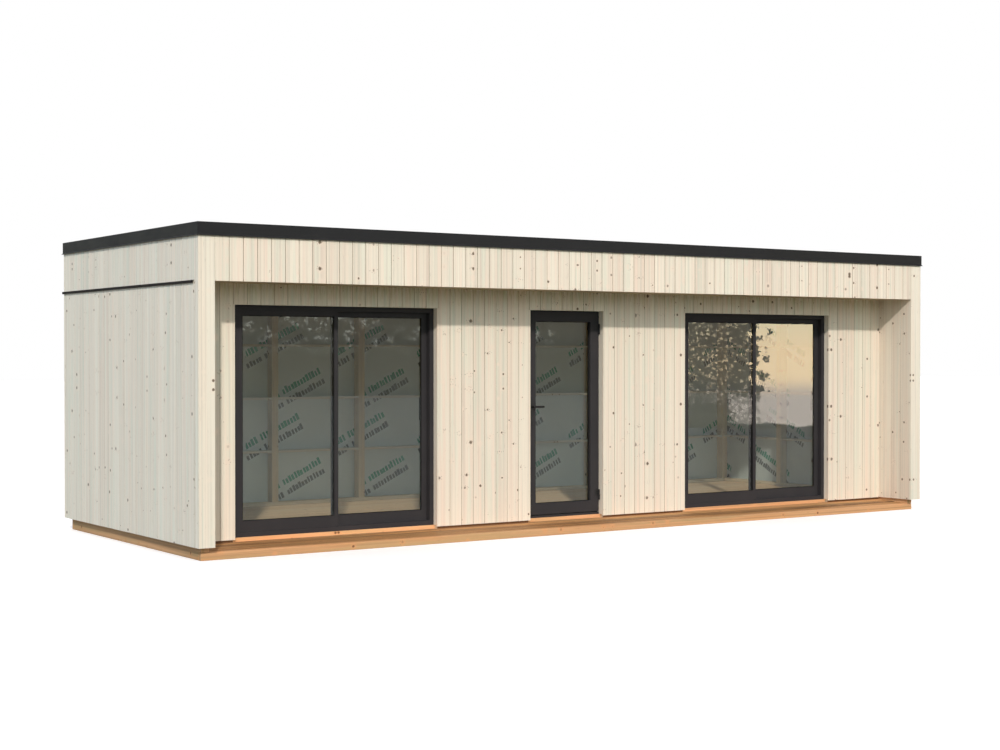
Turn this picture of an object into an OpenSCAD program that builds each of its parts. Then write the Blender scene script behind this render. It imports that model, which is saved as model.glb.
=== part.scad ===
// Guest cabin: a long, flat-roofed timber cabin with a covered recess along the front,
// a sliding glass door at each end of the recess and a hinged glazed door between them.
// Millimetres. +X runs to the right along the front, +Y to the back, +Z up.
// The origin is at the bottom centre. The modules are drawn from the front left corner
// of the cladding at ground level, and in_frame() moves them to the origin.

/* [Cabin] */
// Cover width of one cladding board
board_w = 121; // [112:1:130]
// Number of boards across the front, between the two side walls
front_boards = 64; // [63:1:72]
// Depth of the cabin over its cladding
cabin_d = 3016; // [2700:1:3400]
// Depth of the covered recess in front of the doors
recess_d = 443; // [360:1:600]

/* [Levels] */
// Top of the front base beam at its front edge
base_h = 60; // [50:1:75]
// Top of the floor boards
floor_h = 120; // [112:1:140]
// Top of the door sills, on which the door frames stand
sill_h = 112; // [104:1:130]
// Lower edge of the outer cladding
clad_low = 105; // [95:1:115]
// Lower edge of the cladding in the recess
recess_clad_low = 102; // [92:1:115]
// Head of the door openings
head_h = 2002; // [1960:1:2040]
// Height of the boards between the openings and the soffit
header_h = 166; // [150:1:220]
// Height of the frieze with its trim, from its lower edge to the top
frieze_h = 452; // [440:1:560]

/* [Openings] */
// Board joint at which the left sliding door begins
left_slider_joint = 3; // [2:1:4]
// Board joint at which the hinged door begins
door_joint = 27; // [24:1:28]
// Board joint at which the right sliding door begins
right_slider_joint = 42; // [40:1:43]
// Number of boards that a sliding door is wide
slider_boards = 16; // [15:1:18]
// Number of boards that the hinged door is wide
door_boards = 7; // [7:1:9]
// Thickness of the boards that line the openings
lining_t = 10; // [8:1:16]
// Distance from the face of the recess cladding back to the door frames
reveal_d = 60; // [45:1:75]

/* [Timber] */
// Thickness of the cladding boards
clad_t = 20; // [16:1:26]
// Thickness of the wind membrane
membrane_t = 1; // [1:1:3]
// Depth of the studs in the side and back walls
stud_d = 97; // [80:1:120]
// Thickness of a stud or plate
stud_t = 35; // [28:1:48]
// Joint between the frames of two walls
frame_gap = 0.3; // [0.2:0.1:0.5]
// Thickness of the noggins between the studs
noggin_t = 22; // [18:1:45]
// Height of the lowest row of noggins at its centre
noggin_low = 650; // [450:1:700]
// Distance between the rows of noggins
noggin_pitch = 520; // [420:1:560]
// Rows of noggins
noggin_rows = 3; // [1:1:3]
// Boards on one wall element
element_boards = 8; // [6:1:10]
// Width of the outer corner board beside each front corner
corner_w = 79; // [60:1:120]

/* [Base and floor] */
// Inset of the base from the side cladding
base_side_inset = 48; // [30:1:60]
// Inset of the base from the front and back cladding
base_end_inset = 70; // [40:1:90]
// Width of the front and back base beams
base_beam_w = 45; // [36:1:70]
// Thickness of the joists and rafters
joist_t = 45; // [36:1:60]
// Bays between the joists, and between the rafters
joist_bays = 13; // [13:1:18]
// Thickness of the floor boards
floor_t = 22; // [18:1:30]
// Thickness of the deck boards at their front edge
deck_t = 28; // [20:1:34]
// Rise of the deck from its front edge to the front wall
deck_rise = 22; // [10:1:30]
// Number of boards across the deck
deck_boards = 3; // [2:1:4]
// Gap between the deck boards
deck_gap = 4; // [3:1:8]
// How far the deck's slope runs on into a doorway
sill_tongue = 33; // [20:1:38]

/* [Roof] */
// Depth of the rafters at the back
rafter_h = 195; // [145:1:220]
// Fall of the roof from front to back
roof_fall = 45; // [20:1:60]
// Thickness of the roof boards
roof_board_t = 22; // [18:1:28]
// Thickness of the roof covering
covering_t = 5; // [4:1:10]
// Thickness of the rim boards round the roof
rim_t = 45; // [30:1:60]
// Thickness of the soffit boards in the recess
soffit_t = 18; // [14:1:24]
// How far the frieze hangs below the soffit
frieze_drop = 4; // [2:1:12]
// Height of the outer leg of the roof trim
trim_h = 105; // [80:1:150]
// Thickness of the folded sheet of the trim and flashing
sheet_t = 2; // [1:0.5:3]
// Distance between the cladding and the outer leg of the trim
trim_proud = 6; // [2:1:12]
// Reach of the drip lip at the foot of the trim
trim_lip = 10; // [6:1:16]
// Depth of the inner leg of the trim
trim_inner = 30; // [20:1:40]
// Gap at each mitred corner of the trim
mitre_gap = 1; // [0.5:0.5:3]
// Height of the flashing between the walls and the roof
flash_h = 21; // [12:1:40]
// Height of its top above the lower edge of the frieze
flash_up = 5; // [2:1:12]
// How far its drip leg stands out from the cladding
flash_out = 11; // [4:1:14]

/* [Sliding doors] */
// Face width of the slider frame's jambs and head
slider_bar = 40; // [34:1:50]
// Visible width of the outer sash stiles
sash_stile = 56; // [46:1:70]
// Width of the two stiles that meet in the middle
meeting_stile = 38; // [30:1:50]
// Thickness of a sash
sash_t = 34; // [30:1:40]
// Gap between the fixed and the sliding sash
sash_gap = 8; // [6:1:12]
// Set-back of the fixed sash behind the face of its frame
sash_setback = 4; // [2:1:8]
// Visible height of the bottom rail of a sash
bottom_rail = 92; // [70:1:110]
// Visible height of the top rail of a sash
top_rail = 46; // [36:1:60]
// Clearance of the sliding sash to its frame
slide_gap = 5; // [5:0.5:7]
// Width of the track rail and of the head guide
rail_w = 6; // [4:1:8]
// Height of the track rail and depth of the head guide
rail_h = 12; // [9:1:14]
// Clearance between the track rail and the groove that straddles it
rail_clear = 5; // [5:0.5:6]
// Radius of the rollers
roller_r = 10; // [8:1:11]
// Gap between a roller and its rail
roller_gap = 0.3; // [0.2:0.1:0.5]
// Distance of each roller from the end of its sash
roller_in = 120; // [80:1:200]
// Length of the inner pull handle
pull_len = 200; // [150:1:260]
// Height of the middle of the handles
handle_h = 1125; // [1000:1:1200]

/* [Hinged door] */
// Width of the door frame's jambs and head
door_bar = 30; // [28:1:40]
// Depth of the overlapping face of the door leaf
leaf_face_t = 20; // [16:1:24]
// Thickness of the whole door leaf
leaf_t = 56; // [50:1:64]
// Clearance of the leaf to the reveal and to its frame
leaf_gap = 6; // [6:0.5:7]
// Clearance between the leaf and the reveal on the hinge side
hinge_gap = 8; // [8:0.5:9]
// Clearance of the inner part of the leaf to its frame
rebate_gap = 8; // [8:0.5:10]
// Height of the threshold
threshold_h = 20; // [16:1:26]
// Clearance of the leaf above the threshold
leaf_low_gap = 8; // [6:1:12]
// Width of the leaf's stiles
leaf_stile = 96; // [90:1:120]
// Height of the leaf's top rail
leaf_top_rail = 95; // [80:1:110]
// Height of the leaf's bottom rail
leaf_bottom_rail = 102; // [90:1:140]
// Radius of the hinge knuckles
knuckle_r = 8; // [7:0.5:9]
// Width of the hinge plate on the leaf
hinge_plate_w = 40; // [25:1:60]
// Length of a hinge
hinge_len = 96; // [70:1:120]
// Height of the lower hinge at its middle
hinge_low = 295; // [250:1:400]
// Distance of the upper hinge's middle below the head of the opening
hinge_down = 165; // [150:1:400]
// Radius of the hinge pins
pin_r = 4; // [3:0.5:5]
// Running clearance round the hinge pins
pin_gap = 0.1; // [0.05:0.05:0.2]
// Distance of the key cylinder below the lever
key_drop = 92; // [72:1:110]
// Length of the lever
lever_len = 118; // [90:1:140]
// Distance of the levers from the closing edge of the leaf
lever_in = 46; // [42:1:60]
// Distance of the lever from the face of the leaf
lever_out = 44; // [36:1:52]

/* [Glass] */
// Thickness of a sealed glass unit
glass_t = 20; // [16:1:24]
// Depth to which the glass sits in its groove
glass_in = 8; // [6:1:12]

/* [Hidden] */
$fn = 48;

// A cut runs past the face that it opens by this much
eps = 1;

// Walls, from the outside in
wing_w = 2 * clad_t + membrane_t + stud_d;
stud_out = clad_t + membrane_t;
wall_in = stud_out + stud_d;
cabin_w = 2 * wing_w + front_boards * board_w;

// Front wall: the face of the studs, the face of the door frames and the inner face
front_out = recess_d + stud_out;
frame_y = recess_d + reveal_d;
slider_d = sash_setback + 2 * sash_t + sash_gap + sash_setback;
front_in = frame_y + slider_d;

// Roof levels
frieze_low = head_h + header_h;
cabin_h = frieze_low + frieze_h;
wall_top = frieze_low + frieze_drop + soffit_t;
rim_top = cabin_h - sheet_t;
upstand_top = cabin_h - trim_inner;
flash_top = frieze_low + flash_up;
rafter_bay = (cabin_w - 2 * wall_in - joist_t) / joist_bays;

// Sashes: the fixed one is in front, the sliding one runs behind it
fixed_y = frame_y + sash_setback;
slide_y = fixed_y + sash_t + sash_gap;
slider_w = slider_boards * board_w - 2 * lining_t;
door_w = door_boards * board_w - 2 * lining_t;

// Tracks: the sliding sash stands lower and reaches higher than the fixed one
track_floor = sill_h + slider_bar / 2;
track_roof = head_h - slider_bar / 2;
slide_low = track_floor + slide_gap;
slide_high = track_roof - slide_gap;
rail_top = track_floor + rail_h;
roller_z = rail_top + roller_gap + roller_r;
groove_w = rail_w + 2 * rail_clear;

// Hinged door: the leaf closes in front of its frame and the inner part sits inside it
leaf_y = frame_y;
leaf_low = sill_h + threshold_h + leaf_low_gap;
leaf_high = head_h - leaf_gap;
jamb_y = leaf_y + leaf_face_t + leaf_gap;
hinge_high = head_h - hinge_down;
axis_in = knuckle_r + 3;
axis_y = leaf_y - knuckle_r - 1;
plate_t = 3;

// Board joint n, counted from the left side wall
function joint(n) = wing_w + n * board_w;

// Top of the deck at depth y, which rises towards the front wall
function deck_z(y) = base_h + deck_rise * (y - base_end_inset) / (front_out - base_end_inset);

// Top of the rafters at depth y, which falls towards the back
function roof_z(y) =
    wall_top + rafter_h + roof_fall * (cabin_d - stud_out - y) / (cabin_d - 2 * stud_out);

// Left edge of each door opening, and its width
door_x = joint(door_joint) + lining_t;
left_x = joint(left_slider_joint) + lining_t;
right_x = joint(right_slider_joint) + lining_t;
OPENINGS = [[left_x, slider_w], [door_x, door_w], [right_x, slider_w]];

// The four piers of the front wall, as the board joints at their two edges
PIERS = [
    [0, left_slider_joint],
    [left_slider_joint + slider_boards, door_joint],
    [door_joint + door_boards, right_slider_joint],
    [right_slider_joint + slider_boards, front_boards],
];

// Colours
cream = [0.90, 0.86, 0.78];
pine = [0.86, 0.72, 0.52];
plinth = [0.72, 0.50, 0.32];
anthracite = [0.17, 0.18, 0.19];
glazing = [0.55, 0.62, 0.62, 0.45];
membrane = [0.74, 0.77, 0.78];
steel = [0.45, 0.46, 0.48];
felt = [0.22, 0.23, 0.24];

// ---------- Helpers ----------

// Moves the model so that its bottom centre is at the origin
module in_frame() {
    translate([-cabin_w / 2, -cabin_d / 2, 0]) children();
}

// A box between two opposite corners
module block(low, high) {
    translate(low) cube(high - low);
}

// A profile drawn in Y and Z, drawn out along X
module along_x(x0, x1) {
    translate([x0, 0, 0]) rotate([90, 0, 90]) linear_extrude(x1 - x0) children();
}

// The same solid on the left and, mirrored, on the right
module both_sides() {
    children();
    translate([cabin_w, 0, 0]) mirror([1, 0, 0]) children();
}

// ---------- Base, deck and floor ----------

base_back = cabin_d - base_end_inset;
beam_front = base_end_inset + base_beam_w;

// Beams under the side walls, which lap over the ends of the front beam
module side_base_beams() {
    color(plinth)
    both_sides() {
        block([base_side_inset, beam_front, 0],
              [wall_in, base_back - base_beam_w, floor_h]);
        block([base_side_inset, base_end_inset, deck_z(beam_front)],
              [wall_in, beam_front + eps, floor_h]);
    }
}

// Beams under the front edge of the deck, the front wall and the back wall
module cross_base_beams() {
    color(plinth) {
        along_x(base_side_inset, cabin_w - base_side_inset)
            polygon([
                [base_end_inset, 0],
                [base_end_inset, base_h],
                [beam_front, deck_z(beam_front)],
                [beam_front, 0],
            ]);
        block([wall_in, front_out, 0], [cabin_w - wall_in, front_in, base_h]);
        block([base_side_inset, base_back - base_beam_w, 0],
              [cabin_w - base_side_inset, base_back, floor_h]);
    }
}

// Joists under the deck and under the floor
module floor_joists() {
    color(plinth)
    for (i = [1 : joist_bays - 1]) {
        x = wall_in + i * rafter_bay;
        block([x, beam_front, 0], [x + joist_t, front_out, base_h - deck_t]);
        block([x, front_in, 0], [x + joist_t, base_back - base_beam_w, floor_h - floor_t]);
    }
}

// Deck of the recess: long boards whose tops fall towards the front
module recess_deck() {
    y0 = base_end_inset + base_beam_w;
    pitch = (front_out - y0 + deck_gap) / deck_boards;
    color(plinth)
    for (i = [0 : deck_boards - 1]) {
        ya = y0 + i * pitch;
        yb = ya + pitch - deck_gap;
        along_x(wall_in, cabin_w - wall_in)
            polygon([
                [ya, base_h - deck_t],
                [ya, deck_z(ya)],
                [yb, deck_z(yb)],
                [yb, base_h - deck_t],
            ]);
    }
}

// Floor of the room
module floor_boards() {
    color(pine)
    block([wall_in, front_in, floor_h - floor_t],
          [cabin_w - wall_in, cabin_d - wall_in, floor_h]);
}

// ---------- Wall frames ----------

// One kind of member of a stud frame that runs along X: 0 the plates, 1 the studs with
// a double stud at each listed centre, 2 the noggins between the studs
module stud_frame(kind, x0, x1, depth, low, low_plate, high, centres) {
    edges = concat([x0 + stud_t], [for (c = centres) each [c - stud_t, c + stud_t]],
                   [x1 - stud_t]);
    if (kind == 0) {
        block([x0, 0, low], [x1, depth, low + low_plate]);
        block([x0, 0, high - stud_t], [x1, depth, high]);
    }
    if (kind == 1) {
        block([x0, 0, low + low_plate], [x0 + stud_t, depth, high - stud_t]);
        block([x1 - stud_t, 0, low + low_plate], [x1, depth, high - stud_t]);
        for (c = centres)
            block([c - stud_t, 0, low + low_plate], [c + stud_t, depth, high - stud_t]);
    }
    if (kind == 2)
        for (k = [0 : 2 : len(edges) - 1], i = [0 : noggin_rows - 1]) {
            z = noggin_low + i * noggin_pitch;
            block([edges[k], 0, z - noggin_t / 2], [edges[k + 1], depth, z + noggin_t / 2]);
        }
}

// All stud frames: the side walls, the back wall between them, and one in each pier
// of the front wall
module stud_frames(kind) {
    half = cabin_d / 2 - stud_out;
    step = element_boards * board_w;
    count = floor((front_boards - 1) / element_boards);
    both_sides()
        translate([wall_in, cabin_d / 2, 0]) rotate([0, 0, 90])
            stud_frame(kind, -half, half, stud_d, floor_h, stud_t, wall_top,
                       [-step / 2, step / 2]);
    translate([0, cabin_d - wall_in, 0])
        stud_frame(kind, wall_in + frame_gap, cabin_w - wall_in - frame_gap, stud_d,
                   floor_h, stud_t, wall_top,
                   [for (k = [1 : count]) joint(k * element_boards)]);
    for (p = PIERS) {
        x0 = p[0] == 0 ? wall_in + frame_gap : joint(p[0]);
        x1 = p[1] == front_boards ? cabin_w - wall_in - frame_gap : joint(p[1]);
        translate([0, front_out, 0])
            stud_frame(kind, x0, x1, front_in - front_out, base_h,
                       floor_h + stud_t - base_h, head_h + lining_t, []);
    }
}

// Sole plates and top plates of the walls
module wall_plates() {
    color(pine) stud_frames(0);
}

// Studs of the walls
module wall_studs() {
    color(pine) stud_frames(1);
}

// Noggins between the studs
module wall_noggins() {
    color(pine) stud_frames(2);
}

// Beam over the openings, which carries the rafters
module front_header_beam() {
    color(pine)
    block([wall_in, front_out, head_h + lining_t], [cabin_w - wall_in, front_in, wall_top]);
}

// Sheet between the studs and the cladding
module wind_membrane() {
    color(membrane) {
        both_sides()
            block([clad_t, stud_out, floor_h], [stud_out, cabin_d - stud_out, rim_top]);
        block([clad_t, cabin_d - stud_out, floor_h],
              [cabin_w - clad_t, cabin_d - clad_t, rim_top]);
        for (p = PIERS)
            block([joint(p[0]), recess_d + clad_t, floor_h],
                  [joint(p[1]), front_out, head_h + lining_t]);
    }
}

// ---------- Cladding ----------

// Boards on the piers of the front wall
module front_wall_cladding() {
    color(cream)
    for (p = PIERS) {
        x0 = joint(p[0]) - (p[0] == 0 ? 0 : lining_t);
        x1 = joint(p[1]) + (p[1] == front_boards ? 0 : lining_t);
        block([x0, recess_d, recess_clad_low], [x1, recess_d + clad_t, head_h]);
    }
}

// Boards over the openings
module front_header_cladding() {
    color(cream)
    block([wing_w, recess_d, head_h],
          [cabin_w - wing_w, recess_d + clad_t, frieze_low + frieze_drop]);
}

// Boards round the front end of each side wall, which line the recess on its inner side
module wing_cladding() {
    color(cream)
    both_sides() {
        block([0, 0, clad_low], [wing_w, clad_t, rim_top]);
        block([0, 0, clad_low], [clad_t, corner_w, rim_top]);
        block([wall_in, 0, clad_low],
              [wing_w, recess_d + clad_t, frieze_low + frieze_drop]);
    }
}

// Boards of the side walls, below the flashing
module side_wall_cladding() {
    color(cream)
    both_sides()
        block([0, corner_w, clad_low], [clad_t, cabin_d - clad_t, flash_top - sheet_t]);
}

// Boards of the back wall, below the flashing
module back_wall_cladding() {
    color(cream)
    block([0, cabin_d - clad_t, clad_low], [cabin_w, cabin_d, flash_top - sheet_t]);
}

// Boards of the frieze over the recess
module front_frieze() {
    color(cream)
    block([wing_w, 0, frieze_low], [cabin_w - wing_w, clad_t, rim_top]);
}

// Boards round the roof on the sides, above the flashing
module side_friezes() {
    color(cream)
    both_sides()
        block([0, corner_w, flash_top], [clad_t, cabin_d - clad_t, rim_top]);
}

// Boards round the roof on the back, above the flashing
module back_frieze() {
    color(cream)
    block([0, cabin_d - clad_t, flash_top], [cabin_w, cabin_d, rim_top]);
}

// Section of the folded flashing, with Y inwards from the face of the cladding: an upright
// drip leg that stands clear of the boards, and a top that runs in under the upper boards
module flashing_section() {
    polygon([
        [-sheet_t - flash_out, flash_top - flash_h],
        [-sheet_t - flash_out, flash_top],
        [clad_t, flash_top],
        [clad_t, flash_top - sheet_t],
        [-flash_out, flash_top - sheet_t],
        [-flash_out, flash_top - flash_h],
    ]);
}

// One side of the flashing, drawn along X and cut to a mitre at its start, and at its end
// too if two_mitres is true
module flashing_run(run, two_mitres) {
    out = flash_out + sheet_t + eps;
    g = mitre_gap / 2;
    end_out = two_mitres ? run + out - g : run;
    end_in = two_mitres ? run - clad_t - g : run;
    intersection() {
        along_x(-out, run + out) flashing_section();
        linear_extrude(cabin_h)
            polygon([[g - out, -out], [end_out, -out], [end_in, clad_t], [clad_t + g, clad_t]]);
    }
}

// Flashing on both sides and the back, square at its front ends
module joint_flashing() {
    color(anthracite) {
        both_sides()
            translate([0, cabin_d, 0]) rotate([0, 0, -90])
                flashing_run(cabin_d - corner_w, false);
        translate([cabin_w, cabin_d, 0]) rotate([0, 0, 180]) flashing_run(cabin_w, true);
    }
}

// Ceiling of the recess
module recess_soffit() {
    color(cream)
    block([wing_w, clad_t, frieze_low + frieze_drop],
          [cabin_w - wing_w, recess_d + clad_t, wall_top]);
}

// ---------- Roof ----------

// Rafters from rim to rim, cut to the fall of the roof
module roof_rafters() {
    y0 = stud_out + rim_t;
    y1 = cabin_d - stud_out - rim_t;
    color(pine)
    for (i = [1 : joist_bays - 1]) {
        x = wall_in + i * rafter_bay;
        along_x(x, x + joist_t)
            polygon([[y0, wall_top], [y0, roof_z(y0)], [y1, roof_z(y1)], [y1, wall_top]]);
    }
}

// Rim boards on the side walls
module side_roof_rims() {
    color(pine)
    both_sides()
        block([stud_out, stud_out, wall_top], [stud_out + rim_t, cabin_d - stud_out, rim_top]);
}

// Rim boards along the front and the back
module end_roof_rims() {
    color(pine)
    for (y = [stud_out, cabin_d - stud_out - rim_t])
        block([stud_out + rim_t, y, wall_top],
              [cabin_w - stud_out - rim_t, y + rim_t, rim_top]);
}

// Boards on the rafters
module roof_boards() {
    y0 = stud_out + rim_t;
    y1 = cabin_d - stud_out - rim_t;
    color(pine)
    along_x(stud_out + rim_t, cabin_w - stud_out - rim_t)
        polygon([
            [y0, roof_z(y0)],
            [y0, roof_z(y0) + roof_board_t],
            [y1, roof_z(y1) + roof_board_t],
            [y1, roof_z(y1)],
        ]);
}

// Roof covering, a tray that turns up against the rims
module roof_covering() {
    y0 = stud_out + rim_t;
    y1 = cabin_d - stud_out - rim_t;
    x0 = stud_out + rim_t;
    low0 = roof_z(y0) + roof_board_t;
    low1 = roof_z(y1) + roof_board_t;
    color(felt)
    difference() {
        along_x(x0, cabin_w - x0)
            polygon([[y0, low0], [y0, upstand_top],
                     [y1, upstand_top], [y1, low1]]);
        along_x(x0 + covering_t, cabin_w - x0 - covering_t)
            polygon([
                [y0 + covering_t, low0 + covering_t],
                [y0 + covering_t, upstand_top + eps],
                [y1 - covering_t, upstand_top + eps],
                [y1 - covering_t, low1 + covering_t],
            ]);
    }
}

// Section of the folded roof trim, with Y inwards from the face of the cladding:
// drip lip, outer leg, top and inner leg
module trim_section() {
    t = sheet_t;
    face = -trim_proud;
    foot = cabin_h - trim_h;
    bend = t * tan(22.5);
    tip = t / sqrt(2);
    inner = stud_out + rim_t;
    polygon([
        [face, foot + trim_lip],
        [face - trim_lip, foot],
        [face - trim_lip - tip, foot + tip],
        [face - t, foot + trim_lip + bend],
        [face - t, cabin_h],
        [inner + t, cabin_h],
        [inner + t, cabin_h - trim_inner],
        [inner, cabin_h - trim_inner],
        [inner, cabin_h - t],
        [face, cabin_h - t],
    ]);
}

// One side of the trim, drawn along X and cut to a mitre at both ends
module trim_run(run) {
    out = trim_proud + trim_lip + sheet_t + eps;
    inn = stud_out + rim_t + sheet_t + eps;
    g = mitre_gap / 2;
    intersection() {
        along_x(-out, run + out) trim_section();
        linear_extrude(cabin_h + eps)
            polygon([[g - out, -out], [run + out - g, -out], [run - inn - g, inn], [inn + g, inn]]);
    }
}

// Roof trim on all four sides
module roof_trim() {
    color(anthracite) {
        trim_run(cabin_w);
        translate([cabin_w, 0, 0]) rotate([0, 0, 90]) trim_run(cabin_d);
        translate([cabin_w, cabin_d, 0]) rotate([0, 0, 180]) trim_run(cabin_w);
        translate([0, cabin_d, 0]) rotate([0, 0, 270]) trim_run(cabin_d);
    }
}

// ---------- Openings ----------

// Timber sills, whose tongue carries the slope of the deck into the doorway
module door_sills() {
    step_y = front_out + sill_tongue;
    color(plinth)
    for (o = OPENINGS)
        along_x(o[0] - lining_t, o[0] + o[1] + lining_t)
            polygon([
                [front_out, base_h],
                [front_out, deck_z(front_out)],
                [step_y, deck_z(step_y)],
                [step_y, sill_h],
                [front_in, sill_h],
                [front_in, base_h],
            ]);
}

// Boards that line the sides and the head of each opening
module reveal_linings() {
    y0 = recess_d + clad_t;
    color(cream)
    for (o = OPENINGS)
        difference() {
            block([o[0] - lining_t, y0, sill_h],
                  [o[0] + o[1] + lining_t, front_in, head_h + lining_t]);
            block([o[0], y0 - eps, sill_h - eps], [o[0] + o[1], front_in + eps, head_h]);
        }
}

// ---------- Sliding doors ----------

// Frame of a sliding door: the fixed sash stands on its front half, and the back half
// is a lower track with a rail and a head guide
module slider_frame(x) {
    inner_x0 = x + slider_bar;
    inner_x1 = x + slider_w - slider_bar;
    track_y = slide_y - sash_gap / 2;
    mid_y = slide_y + sash_t / 2;
    color(anthracite)
    difference() {
        block([x, frame_y, sill_h], [x + slider_w, front_in, head_h]);
        // daylight between the front half of the sill and of the head
        block([inner_x0, frame_y - eps, sill_h + slider_bar],
              [inner_x1, track_y + eps, head_h - slider_bar]);
        // track, which keeps the rail and the head guide
        difference() {
            block([inner_x0, track_y, track_floor], [inner_x1, front_in + eps, track_roof]);
            block([inner_x0 - eps, mid_y - rail_w / 2, track_floor - eps],
                  [inner_x1 + eps, mid_y + rail_w / 2, rail_top]);
            block([inner_x0 - eps, mid_y - rail_w / 2, track_roof - rail_h],
                  [inner_x1 + eps, mid_y + rail_w / 2, track_roof + eps]);
        }
    }
}

// A ring of stiles and rails with a groove for the glass
module sash_ring(x0, x1, y, z0, z1, day_x0, day_x1, day_z0, day_z1) {
    groove_y = y + (sash_t - glass_t) / 2;
    difference() {
        block([x0, y, z0], [x1, y + sash_t, z1]);
        block([day_x0, y - eps, day_z0], [day_x1, y + sash_t + eps, day_z1]);
        block([day_x0 - glass_in, groove_y, day_z0 - glass_in],
              [day_x1 + glass_in, groove_y + glass_t, day_z1 + glass_in]);
    }
}

// The sealed glass unit of a sash
module sash_glass(y, day) {
    groove_y = y + (sash_t - glass_t) / 2;
    color(glazing)
    block([day[0] - glass_in, groove_y, sill_h + slider_bar + bottom_rail - glass_in],
          [day[1] + glass_in, groove_y + glass_t, head_h - slider_bar - top_rail + glass_in]);
}

// Where the glass shows in the fixed and in the sliding sash
function fixed_day(x) = [x + slider_bar + sash_stile, x + (slider_w - meeting_stile) / 2];
function slide_day(x) = [x + (slider_w + meeting_stile) / 2,
                         x + slider_w - slider_bar - sash_stile];

// Both slider frames
module slider_frames() {
    slider_frame(left_x);
    slider_frame(right_x);
}

// Both fixed sashes
module fixed_sashes() {
    fixed_sash(left_x);
    fixed_sash(right_x);
}

// The glass of both fixed sashes
module fixed_glass() {
    sash_glass(fixed_y, fixed_day(left_x));
    sash_glass(fixed_y, fixed_day(right_x));
}

// The glass of a sliding sash
module sliding_glass(x) {
    sash_glass(slide_y, slide_day(x));
}

// Fixed sash, in front, on the left
module fixed_sash(x) {
    day = fixed_day(x);
    color(anthracite)
    sash_ring(x + slider_bar, day[1] + meeting_stile, fixed_y,
              sill_h + slider_bar, head_h - slider_bar, day[0], day[1],
              sill_h + slider_bar + bottom_rail, head_h - slider_bar - top_rail);
}

// Sliding sash, behind, on the right, with a groove top and bottom and two rollers
module sliding_sash(x) {
    day = slide_day(x);
    x0 = day[0] - meeting_stile;
    x1 = x + slider_w - slider_bar - slide_gap;
    mid_y = slide_y + sash_t / 2;
    groove_h = rail_h + 2 * slide_gap;
    color(anthracite) {
        difference() {
            sash_ring(x0, x1, slide_y, slide_low, slide_high, day[0], day[1],
                      sill_h + slider_bar + bottom_rail, head_h - slider_bar - top_rail);
            block([x0 - eps, mid_y - groove_w / 2, slide_low - eps],
                  [x1 + eps, mid_y + groove_w / 2, slide_low + groove_h]);
            block([x0 - eps, mid_y - groove_w / 2, slide_high - groove_h],
                  [x1 + eps, mid_y + groove_w / 2, slide_high + eps]);
            for (rx = [x0 + roller_in, x1 - roller_in])
                block([rx - roller_r - slide_gap, mid_y - groove_w / 2, slide_low],
                      [rx + roller_r + slide_gap, mid_y + groove_w / 2,
                       roller_z + roller_r + slide_gap]);
        }
        for (rx = [x0 + roller_in, x1 - roller_in]) {
            translate([rx, mid_y + rail_w / 2, roller_z]) rotate([90, 0, 0])
                cylinder(r = roller_r, h = rail_w);
            translate([rx, mid_y + groove_w / 2 + eps, roller_z]) rotate([90, 0, 0])
                cylinder(r = roller_r / 3, h = groove_w + 2 * eps);
        }
    }
}

// Pull handle on the inner face of the sliding sash
module pull_handle(x) {
    bar_r = 8;
    reach = 40;
    px = slide_day(x)[1] + sash_stile / 2 - slide_gap;
    face = slide_y + sash_t;
    color(steel) {
        for (s = [-1, 1])
            translate([px, face, handle_h + s * (pull_len / 2 - 2 * bar_r)]) rotate([-90, 0, 0])
                cylinder(r = bar_r, h = reach);
        translate([px, face + reach, handle_h - pull_len / 2]) cylinder(r = bar_r, h = pull_len);
    }
}

// ---------- Hinged door ----------

leaf_x0 = door_x + leaf_gap;
leaf_x1 = door_x + door_w - hinge_gap;
axis_x = door_x + door_w - axis_in;

// Frame of the hinged door with its threshold
module door_frame() {
    x1 = door_x + door_w;
    color(anthracite)
    union() {
        difference() {
            block([door_x, jamb_y, sill_h], [x1, front_in, head_h]);
            block([door_x + door_bar, jamb_y - eps, sill_h + threshold_h],
                  [x1 - door_bar, front_in + eps, head_h - door_bar]);
        }
        block([door_x, leaf_y + leaf_gap, sill_h], [x1, front_in, sill_h + threshold_h]);
    }
}

// Door leaf: a face that overlaps the frame, an inner part that fits inside it
module door_leaf() {
    day_x0 = leaf_x0 + leaf_stile;
    day_x1 = leaf_x1 - leaf_stile;
    day_z0 = leaf_low + leaf_bottom_rail;
    day_z1 = leaf_high - leaf_top_rail;
    glass_y = leaf_y + leaf_t / 2;
    color(anthracite)
    difference() {
        union() {
            block([leaf_x0, leaf_y, leaf_low], [leaf_x1, leaf_y + leaf_face_t, leaf_high]);
            block([door_x + door_bar + rebate_gap, leaf_y, leaf_low],
                  [door_x + door_w - door_bar - rebate_gap, leaf_y + leaf_t,
                   head_h - door_bar - rebate_gap]);
        }
        block([day_x0, leaf_y - eps, day_z0], [day_x1, leaf_y + leaf_t + eps, day_z1]);
        block([day_x0 - glass_in, glass_y - eps / 2, day_z0 - glass_in],
              [day_x1 + glass_in, glass_y + glass_t - eps / 2, day_z1 + glass_in]);
    }
}

// Glass of the door leaf
module door_glass() {
    glass_y = leaf_y + leaf_t / 2 - eps / 2;
    color(glazing)
    block([leaf_x0 + leaf_stile - glass_in, glass_y, leaf_low + leaf_bottom_rail - glass_in],
          [leaf_x1 - leaf_stile + glass_in, glass_y + glass_t,
           leaf_high - leaf_top_rail + glass_in]);
}

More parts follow.
